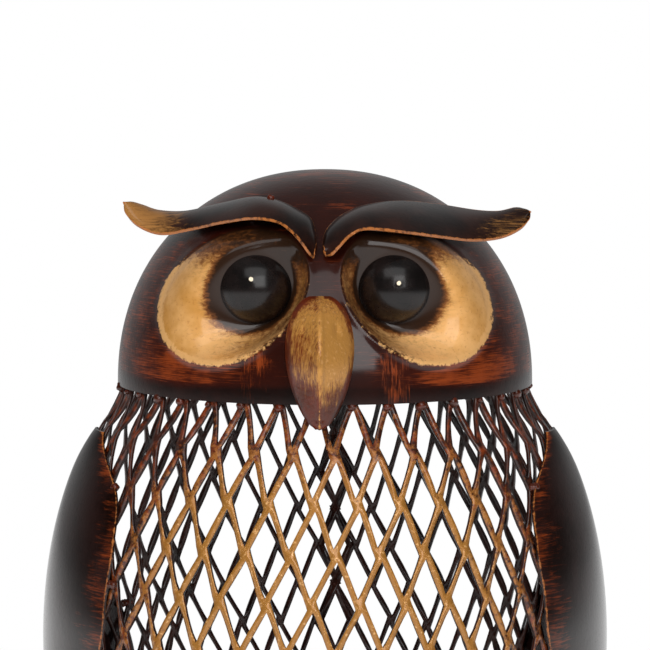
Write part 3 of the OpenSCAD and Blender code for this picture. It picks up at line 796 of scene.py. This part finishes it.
def rowZ(k):
    return rimZ + 0.3 - k * barrel["rowHigh"]


def meshR(z):
    t = clamped((rowZ(0) - z) / barrel["rowHigh"])
    b = clamped((z - rowZ(barrel["rows"])) / barrel["rowHigh"])
    return min(mixed(topInner, barrelAt(z), t), mixed(lowInner, barrelAt(z), b))


def bondTurn(j, k):
    return (j + barrel["phase"] - (0.5 if k % 2 == 0 else 0)) * cell


def alongRow(turn, k):
    # where a turn lies in row k, counted in bonds
    return turn / cell - barrel["phase"] + (0.5 if k % 2 == 0 else 0)


def nearestBond(turn, k):
    return bondTurn(round(alongRow(turn, k)), k)


def buildMesh():
    random.seed(7)
    cells, rows, segments = barrel["cells"], barrel["rows"], barrel["segments"]
    half, high, jog = barrel["bondHalf"], barrel["bondHigh"] / 2, barrel["jog"]
    verts, faces, face, gilt = [], [], [], []
    shake = {}

    def bond(k, j):
        j %= cells
        if (k, j) not in shake:
            shake[(k, j)] = (random.uniform(-0.28, 0.28), random.uniform(-0.25, 0.25),
                             random.uniform(-0.12, 0.12))
        return shake[(k, j)]

    def put(k, j, side, up, out):
        # a point beside the middle of a bond, in mm along the sheet, on its outside and its inside
        dx, dz, dr = bond(k, j)
        calm = 0 if k in (0, rows) else 1
        z = rowZ(k) + up + dz * calm
        r = meshR(z) + (dr + out) * calm
        return bondTurn(j, k) + math.degrees((side + dx * calm) / max(1, r)), z, r

    def add(point):
        turn, z, r = point
        verts.append(around(turn, z, r))
        verts.append(around(turn, z, r - barrel["thick"]))
        level = clamped(1.3 - abs((turn + 180) % 360 - 180) / 78) * (0.62 + 0.4 * eased((rimZ + 2 - z) / 36))
        face.extend((1.0, 0.0))
        gilt.extend((level, level))
        return len(verts) - 2

    corners = {}
    tilt = barrel["tilt"]
    spots = {"top": (-jog, high + 0.35, -tilt), "upRight": (half - jog, high, 0),
             "lowRight": (half + jog, -high, 0), "low": (jog, -high - 0.35, tilt),
             "lowLeft": (jog - half, -high, 0), "upLeft": (-half - jog, high, 0)}
    for k in range(rows + 1):
        for j in range(cells):
            for spot, (side, up, out) in spots.items():
                corners[(k, j, spot)] = add(put(k, j, side, up, out))

    def strip(a, b, c, d, outA, outC):
        # a strand whose left edge runs from a to c and whose right edge runs from b to d
        left, right = [a], [b]
        for n in range(1, segments):
            t = n / segments
            for line, (p, q), out in ((left, (a, c), outA), (right, (b, d), outC)):
                for layer in (0, 1):
                    at = verts[p + layer].lerp(verts[q + layer], t)
                    flat = Vector((at.x, at.y - axisY))
                    turn = math.degrees(math.atan2(flat.x, -flat.y))
                    r = meshR(at.z) + out * math.sin(math.pi * t) - barrel["thick"] * layer
                    verts.append(around(turn, at.z, r))
                    face.append(face[p + layer])
                    gilt.append(mixed(gilt[p + layer], gilt[q + layer], t))
                line.append(len(verts) - 2)
        left.append(c)
        right.append(d)
        for n in range(segments):
            p, q, r, s = left[n], right[n], right[n + 1], left[n + 1]
            faces.extend(((s, r, q, p), (p + 1, q + 1, r + 1, s + 1), (p, p + 1, s + 1, s),
                          (q + 1, q, r, r + 1)))

    for k in range(rows + 1):
        for j in range(cells):
            c = {spot: corners[(k, j, spot)] for spot in spots}
            ring = [c[spot] for spot in spots]
            faces.append(tuple(reversed(ring)))
            faces.append(tuple(p + 1 for p in ring))
            closed = [("upRight", "lowRight"), ("lowLeft", "upLeft")]
            if k == 0:
                closed += [("upLeft", "top"), ("top", "upRight")]
            if k == rows:
                closed += [("lowRight", "low"), ("low", "lowLeft")]
            for p, q in closed:
                faces.append((c[p], c[q], c[q] + 1, c[p] + 1))
            if k == rows:
                continue
            right = (j + k % 2) % cells
            left = (right - 1) % cells
            strip(c["low"], c["lowRight"], corners[(k + 1, right, "upLeft")], corners[(k + 1, right, "top")],
                  -tilt, tilt)
            strip(c["lowLeft"], c["low"], corners[(k + 1, left, "top")], corners[(k + 1, left, "upRight")],
                  tilt, -tilt)
    # where the ends of the sheet overlap, the strands are doubled
    for k in range(rows):
        a, b = rowZ(k), rowZ(k + 1)
        offBond = abs(alongRow(seamTurn, k) % 1 - 0.5)
        shift = [0, 0.5 * cell] if offBond > 0.4 else [0.5 * cell, 0]
        for side in (-1, 1):
            ends = [(seamTurn + side * shift[0], a + 0.9), (seamTurn + side * shift[1], b - 0.9)]
            first = len(verts)
            for turn, z in ends:
                r = meshR(z) - barrel["thick"] * 0.8
                inward = -side * barrel["seam"] * 0.8
                for du, dr in ((-0.95, 0), (0.95, 0), (0.95, -barrel["thick"]), (-0.95, -barrel["thick"])):
                    verts.append(around(turn + math.degrees((inward + du) / r), z, r + dr))
                    face.append(0.2)
                    gilt.append(0.0)
            for n in range(4):
                m = (n + 1) % 4
                faces.append((first + m, first + n, first + 4 + n, first + 4 + m))
            faces += [(first, first + 1, first + 2, first + 3), (first + 7, first + 6, first + 5, first + 4)]
    # the plain edges of the sheet
    for k, up in ((0, 1), (rows, -1)):
        r, z, hem = meshR(rowZ(k)), rowZ(k), up * barrel["edge"]
        first, spokes = len(verts), barrel["hemSpokes"]
        for j in range(spokes):
            for dr, dz in ((0, 0), (0, hem), (-barrel["thick"], hem), (-barrel["thick"], 0)):
                verts.append(around(360 * j / spokes, z + dz, r + dr))
                face.append(0.3)
                gilt.append(0.0)
        for j in range(spokes):
            here, ahead = first + 4 * j, first + 4 * ((j + 1) % spokes)
            for n in range(4):
                a, b = here + n, ahead + n
                c, d = ahead + (n + 1) % 4, here + (n + 1) % 4
                faces.append((a, b, c, d) if up > 0 else (d, c, b, a))
    return addPiece("meshBody", verts, faces, "owl", meshBronze, ("mesh_body",),
                    {"face": face, "gilt": gilt}, crease=0.6, levels=1)


buildMesh()
print("barrel stretched")


def lump(at, size, verts, faces, edge):
    # an uneven bead of weld metal
    rings, spokes, first = 8, 12, len(verts)
    shift = Vector((at.x * 0.7, at.y * 0.7, at.z * 0.7))
    for i in range(rings + 1):
        for j in range(spokes):
            phi, theta = math.pi * i / rings, 2 * math.pi * j / spokes
            way = Vector((math.sin(phi) * math.cos(theta), math.sin(phi) * math.sin(theta), math.cos(phi)))
            grow = size * (1 + 0.28 * noise.noise(way * 1.4 + shift))
            verts.append(at + way * grow)
            edge.append(0.45 + 0.5 * noise.noise(way * 2 + shift))
    faces.extend(stitched(first, rings, spokes, turned=True))


def weldPiece(name, node, beads):
    verts, faces, edge = [], [], []
    for at, size in beads:
        lump(at, size, verts, faces, edge)
    return addPiece(name, verts, faces, "owl", weldBronze, (node,),
                    {"edge": edge, "gilt": [0.2] * len(verts)})


def weldRun(a, b, size):
    count = max(3, int((b - a).length / 0.9))
    return [(a.lerp(b, n / (count - 1)), size * random.uniform(0.85, 1.1)) for n in range(count)]


wing = {
    # the front and the back edge as turns round the barrel, from the top down
    "path": [(68.5, 78), (53.5, 96), (50.8, 106), (51.3, 114), (51.8, 120),
             (56, 125), (64, 128), (76, 127), (91, 121), (107, 113)],
    "top": rimZ - 11, "long": 115, "rise": 0.4, "bulge": 4.4, "steps": 110, "across": 56, "edge": 1.4,
}


tail = {
    "top": place["panTop"] + 38, "reach": 76, "halfW": 21, "notch": 4, "dip": 7, "quill": 0.55,
    "steps": 70, "across": 60,
}


def tailPoint(u, v):
    notch = tail["notch"] * abs(math.sin(radians(270 * v))) * u ** 5
    z = tail["top"] * (1 - u) + notch - tail["dip"] * v * v * (1 - u) ** 5
    x = v * mixed(0.6, 1, u ** 0.8) * tail["halfW"]
    wrap = math.sqrt((barrelAt(max(z, place["panTop"])) + 0.5) ** 2 - x * x)
    hang = mixed(barrelAt(tail["top"]) + 0.5, tail["reach"] - place["sheet"], u)
    ridge = (tail["quill"] * (math.cos(radians(540 * v)) - 1) * 0.5
             * eased(u / 0.3) * eased((1 - u) / 0.05 + 0.3))
    return Vector((x, axisY + max(mixed(wrap, hang, clamped(2.2 * u)), wrap) + place["sheet"] + ridge, z))


def buildWelds():
    random.seed(11)
    rim = [(around(bondTurn(j, 0) + random.uniform(-0.6, 0.6), rimZ - 0.7 + random.uniform(-0.3, 0.2),
                   headR - 0.75),
            random.choice((1.4, 1.1, 0.9, 0.8))) for j in range(barrel["cells"])]
    weldPiece("rimWelds", "rim_welds", rim)
    low = [(around(bondTurn(j, barrel["rows"]) + random.uniform(-0.6, 0.6), place["panTop"] + 0.5,
                   place["panR"] - 0.9),
            random.choice((1.6, 1.3, 1.1))) for j in range(barrel["cells"])]
    weldPiece("baseWelds", "base_welds", low)
    beads = []
    for side, u, v in ((-1, 0.3, 0.6), (-1, 0.46, 0.5), (-1, 0.4, 0), (1, 0.3, 0.6), (1, 0.46, 0.5)):
        at = browPoint(side, u, v) - Vector((0, 0, 1.9 if v else 0))
        low = at.z - (1.2 if v else 1)
        ends = [at, Vector((at.x, axisY + domeY(at.x, low) + 0.6, low))]
        beads += weldRun(*[Vector((side * q.x, q.y, q.z)) for q in ends], 1.15)
    weldPiece("browWelds", "brow_welds", beads)
    beads = []
    for side in (-1, 1):
        for k in (2, 4, 6):
            for edge in (0, 1):
                u = (wing["top"] - rowZ(k)) / wing["long"]
                turn = through(wing["path"], u)[edge] + (1 if edge == 0 else -1)
                near = -nearestBond(-turn, k) if side < 0 else nearestBond(turn, k)
                r = barrelAt(rowZ(k))
                ends = [around(near, rowZ(k), r), around(turn, rowZ(k), r + 0.6)]
                beads += weldRun(*[Vector((side * p.x, p.y, p.z)) for p in ends], 1.2)
    weldPiece("wingWelds", "wing_welds", beads)
    beads = []
    k = math.ceil((rowZ(0) - tail["top"] + 2.4) / barrel["rowHigh"])
    for v in (-0.45, 0.45):
        end = tailPoint(1 - (rowZ(k) + tail["dip"] * v * v) / tail["top"], v) - Vector((0, place["sheet"], 0))
        turn = 180 - math.degrees(math.atan2(end.x, end.y - axisY))
        beads += weldRun(around(nearestBond(turn, k), rowZ(k), barrelAt(rowZ(k))), end, 1.2)
    weldPiece("tailWelds", "tail_welds", beads)


buildWelds()
print("welds laid")


def wingPoint(u, v):
    a = through(wing["path"], u)
    z = wing["top"] - u * wing["long"]
    along = math.sin(math.pi * (0.03 + 0.94 * u ** 0.75))
    off = wing["rise"] + wing["bulge"] * (math.sin(math.pi * clamped(v)) * along) ** 0.7
    return around(mixed(a[0], a[1], v), z, barrelAt(max(z, place["panTop"])) + off + place["sheet"])


def buildWing(side):
    steps, across = wing["steps"], wing["across"]
    grid = [[wingPoint(i / steps, clamped(j / across, 1e-4, 1 - 1e-4)) for j in range(across + 1)]
            for i in range(steps + 1)]
    verts, faces, near = bentSheet(grid, place["sheet"], wing["edge"], 1.0)
    count = (steps + 1) * (across + 1)
    rust = []
    for n in range(len(verts)):
        v = (n % count) % (across + 1) / across if n < 2 * count else 0.5
        rust.append(0.12 + 0.32 * eased((0.3 - v) / 0.3) + 0.1 * eased((verts[n].z - 150) / 12))
    edge = [e * mixed(0.62, 0.95, eased((r - 0.2) / 0.2)) for e, r in zip(near, rust)]
    if side < 0:
        verts, faces = flipped(verts, faces)
    name = sideName(side)
    return addPiece(name + "Wing", verts, faces, "owl", wingLacquer, (name + "_wing",),
                    {"edge": edge, "rust": rust}, sharp=50)


def buildTail():
    steps, across = tail["steps"], tail["across"]
    grid = [[tailPoint(i / steps, 2 * j / across - 1) for j in range(across + 1)] for i in range(steps + 1)]
    verts, faces, near = bentSheet(grid, place["sheet"], 3.0, -1.0)
    verts = [Vector((v.x, v.y, max(v.z, 0))) for v in verts]
    quills = [abs(math.cos(radians(270 * clamped(v.x / tail["halfW"], -1, 1)))) ** 4 for v in verts]
    edge = [0.6 * e + 0.3 * q * 0.6 for e, q in zip(near, quills)]
    return addPiece("tail", verts, faces, "owl", wingLacquer, ("tail",),
                    {"edge": edge, "rust": [0.22] * len(verts)}, sharp=50)


for side in (-1, 1):
    buildWing(side)
buildTail()
print("wings and tail hung")


def lathe(name, profile, centre, body, finish, nodes, spokes=128, edges=(), rust=0.2):
    # turns a closed outline of (radius, height) about the upright line through centre
    verts, faces, edge = [], [], []
    rows = len(profile)
    for j in range(spokes):
        turn = 2 * math.pi * j / spokes
        for n, (r, z) in enumerate(profile):
            verts.append(Vector((centre.x + r * math.cos(turn), centre.y + r * math.sin(turn), centre.z + z)))
            edge.append(0.6 if n in edges else 0.0)
    for j in range(spokes):
        for n in range(rows):
            a, b = j * rows + n, j * rows + (n + 1) % rows
            c, d = ((j + 1) % spokes) * rows + (n + 1) % rows, ((j + 1) % spokes) * rows + n
            if profile[n][0] == 0 and profile[(n + 1) % rows][0] == 0:
                continue
            faces.append((a, d, c, b))
    masks = {"edge": edge, "rust": [rust] * len(verts)}
    return addPiece(name, verts, faces, body, finish, nodes, masks, sharp=40)


def rounded(points, radius):
    # the outline with each corner rounded, by five points where there was one
    made, steps = [], 4
    for n, p in enumerate(points):
        a, b, c = Vector(points[n - 1]), Vector(p), Vector(points[(n + 1) % len(points)])
        if b.x == 0:
            made.append((0.0, b.y))
            continue
        back = min(radius, (a - b).length * 0.45)
        ahead = min(radius, (c - b).length * 0.45)
        start, end = b + (a - b).normalized() * back, b + (c - b).normalized() * ahead
        for k in range(steps + 1):
            t = k / steps
            q = start * (1 - t) ** 2 + b * 2 * t * (1 - t) + end * t * t
            made.append((q.x, q.y))
    return made


base = {"depth": place["panTop"] - place["panZ"], "bend": 3.0, "hole": 17.0}
stopper = {"gap": 0.08, "flange": 3.5, "shank": place["sheet"] + 7}
panCentre = Vector((0, axisY, place["panZ"]))


def buildBase():
    r, bend, t, high, hole = place["panR"], base["bend"], place["sheet"], base["depth"], base["hole"]
    outline = [(hole, 0), (hole + 5, 0.0), (hole + 7, 0.0), (r - 16, 0), (r - 13, 0.5),
               (r - bend, 0.0), (r - 0.9, 0.9), (r, bend), (r, high), (r - t, high),
               (r - t, bend + 0.4), (r - bend - 0.4, t), (r - 13, t + 0.5), (r - 16, t), (hole, t)]
    lathe("basePan", rounded(outline, 0.5), panCentre, "owl", baseLacquer, ("base_pan",), 160,
          edges=range(30, 50), rust=0.26)
    shank = hole - stopper["gap"]
    top, flange = stopper["shank"], hole + stopper["flange"]
    outline = [(0, -1.6), (6, -1.6), (7, -2.4), (flange - 0.8, -2.4), (flange, -1.6), (flange, 0),
               (shank, 0), (shank, 1.6), (shank - 0.5, 2.2), (shank, 2.8), (shank, 3.8),
               (shank - 0.5, 4.4), (shank, 5.0), (shank, top - 2), (shank - 1.2, top),
               (shank - 4, top), (shank - 4, 2.5), (0, 2.5)]
    lathe("stopper", rounded(outline, 0.35), panCentre, "stopper", stopperRubber,
          ("stopper",), 128)


foot = {"x": 25, "y": 33, "high": 8, "toe": 40, "backToe": 22, "toeW": 9.5, "toeH": 6.5, "legR": 5.5}


def toeRings(turn, length, verts, faces, edge):
    # a toe with two knuckles and a claw that bends down to the ground
    rings, spokes = 34, 20
    first = len(verts)
    for i in range(rings + 1):
        s = i / rings
        claw = clamped((s - 0.72) / 0.28)
        knuckle = 0.08 * math.cos(2 * math.pi * (s - 0.12) / 0.3) if s < 0.72 else 0
        half = foot["toeW"] / 2 * ((0.88 + knuckle) if s < 0.72 else mixed(0.66, 0.06, claw ** 0.9))
        high = foot["toeH"] * ((0.9 + knuckle) if s < 0.72 else mixed(0.72, 0.1, claw ** 1.3))
        for j in range(spokes):
            phi = 2 * math.pi * j / spokes
            across = half * math.cos(phi)
            z = high * 0.5 + high * 0.5 * math.sin(phi)
            z = max(0.0, z * 1.12 - high * 0.12)
            x, y = across, -s * length
            verts.append(Vector((x * math.cos(turn) - y * math.sin(turn),
                                 x * math.sin(turn) + y * math.cos(turn), z)))
            edge.append(clamped(0.25 + 0.35 * math.sin(phi) + 0.35 * claw + knuckle * 2))
    faces.extend(stitched(first, rings, spokes) + capped(first, rings, spokes))


def buildFoot(side):
    name = sideName(side)
    at = Vector((side * foot["x"], axisY - foot["y"], 0))
    verts, faces, edge = [], [], []
    for degrees in (-27, 0, 27):
        toeRings(radians(degrees), foot["toe"] - (3 if degrees else 0), verts, faces, edge)
    toeRings(math.pi, foot["backToe"], verts, faces, edge)
    # the pad that the toes grow from
    r, high, spokes = foot["legR"] + 4, foot["high"], 40
    outline = [(r - 0.6, 0), (r, 0.8), (r, 2.5), (r - 1.2, 5.0), (r - 2.8, 6.9), (r - 3.8, high), (0.4, high)]
    first = len(verts)
    for radius, z in outline:
        for j in range(spokes):
            phi = 2 * math.pi * j / spokes
            verts.append(Vector((radius * math.cos(phi), radius * math.sin(phi), z)))
            edge.append(0.3 if 2 < z < 7 else 0.1)
    rings = len(outline) - 1
    faces.extend(stitched(first, rings, spokes) + capped(first, rings, spokes))
    verts = [v + at for v in verts]
    addPiece(name + "Foot", verts, faces, "owl", footGilding, (name + "_foot",),
             {"edge": edge, "gilt": [0.3 + 0.4 * e for e in edge]}, sharp=45)
    r, legHigh = foot["legR"], place["panZ"]
    outline = [(0, high), (r + 1.2, high), (r + 0.9, high + 0.8), (r, high + 1.6), (r, legHigh - 3),
               (r + 0.5, legHigh - 2), (r + 2.2, legHigh - 1.4), (r + 2.5, legHigh - 1.0), (r + 2.5, legHigh),
               (0, legHigh)]
    lathe(name + "Leg", rounded(outline, 0.3), Vector((at.x, at.y, 0)), "owl", baseLacquer,
          (name + "_leg",), 64,
          edges=range(20, 32), rust=0.3)


buildBase()
for side in (-1, 1):
    buildFoot(side)
print("base, stopper and feet turned")


studio = {
    "floorR": 0.6, "floorFade": (0.24, 0.37), "front": 0.01, "back": 0.22, "top": 0.1, "below": 0.8,
    "eyeBack": 0.53, "eyeHigh": 0.229, "look": 0.186, "lens": 109.0,
    # place, aim, width, height, brightness, and whether it shows in reflections
    "boxes": {
        "topFront": ((0.0, -0.75, 0.95), (0, 0, 0.17), 1.0, 0.5, 1.0, True),
        "frontBox": ((0.3, -1.3, 0.68), (0, 0, 0.2), 0.7, 0.7, 2.4, True),
        "keyLeft": ((-0.8, -1.2, 0.9), (0, 0, 0.15), 0.8, 0.8, 8.0, False),
        "keyRight": ((0.9, -1.2, 0.6), (0, 0, 0.15), 0.8, 0.8, 5.0, False),
    },
}


def buildStudio():
    mesh = bpy.data.meshes.new("floor")
    spokes, r = 96, studio["floorR"]
    turns = [2 * math.pi * n / spokes for n in range(spokes)]
    mesh.from_pydata([(r * math.cos(turn), r * math.sin(turn), 0) for turn in turns], [],
                     [tuple(range(spokes))])
    floor = bpy.data.objects.new("floor", mesh)
    bpy.context.scene.collection.objects.link(floor)
    made, tree, shader, coords = newFinish("paleFloor", Roughness=0.6)
    spots = noisy(tree, stretched(tree, coords, (6, 6, 6)), 1, 2, 0.5)
    tree.links.new(blended(tree, spots, (0.93, 0.93, 0.93), (0.96, 0.96, 0.955)), shader.inputs["Base Color"])
    reach = addNode(tree, "ShaderNodeVectorMath", operation="LENGTH")
    tree.links.new(coords, reach.inputs[0])
    fade = sums(tree, "SUBTRACT", 1.0, ramp(tree, reach.outputs["Value"], *studio["floorFade"]))
    tree.links.new(fade, shader.inputs["Alpha"])
    mesh.materials.append(made)

    world = bpy.data.worlds.new("studio")
    bpy.context.scene.world = world
    world.use_nodes = True
    tree = world.node_tree
    tree.nodes.clear()
    way = addNode(tree, "ShaderNodeTexCoord").outputs["Generated"]
    split = addNode(tree, "ShaderNodeSeparateXYZ")
    tree.links.new(way, split.inputs[0])
    grey = blended(tree, ramp(tree, split.outputs["Y"], 0.1, 0.9), (studio["front"],) * 3,
                   (studio["back"],) * 3)
    grey = blended(tree, ramp(tree, split.outputs["Z"], 0.5, 0.95), grey, (studio["top"],) * 3)
    grey = blended(tree, ramp(tree, split.outputs["Z"], -0.05, -0.22), grey, (studio["below"],) * 3)
    seen = addNode(tree, "ShaderNodeLightPath").outputs["Is Camera Ray"]
    colour = blended(tree, seen, grey, (1.0, 1.0, 1.0))
    shade = addNode(tree, "ShaderNodeBackground")
    tree.links.new(colour, shade.inputs["Color"])
    out = addNode(tree, "ShaderNodeOutputWorld")
    tree.links.new(shade.outputs[0], out.inputs["Surface"])

    for name, (at, aim, wide, high, bright, gleam) in studio["boxes"].items():
        light = bpy.data.lights.new(name, "AREA")
        light.shape, light.size, light.size_y = "RECTANGLE", wide, high
        light.energy = bright * math.pi * wide * high
        lamp = bpy.data.objects.new(name, light)
        lamp.location, lamp.visible_glossy = at, gleam
        lamp.rotation_euler = (Vector(aim) - Vector(at)).to_track_quat("-Z", "Y").to_euler()
        bpy.context.scene.collection.objects.link(lamp)

    view = bpy.data.objects.new("camera", bpy.data.cameras.new("camera"))
    view.data.lens, view.data.sensor_width = studio["lens"], 36.0
    view.location = (0, axisY * mm - studio["eyeBack"], studio["eyeHigh"])
    aim = Vector((0, axisY * mm, studio["look"]))
    view.rotation_euler = (aim - view.location).to_track_quat("-Z", "Y").to_euler()
    bpy.context.scene.collection.objects.link(view)
    bpy.context.scene.camera = view
    bpy.context.scene.view_settings.view_transform = "Standard"


buildStudio()
print("studio lit")
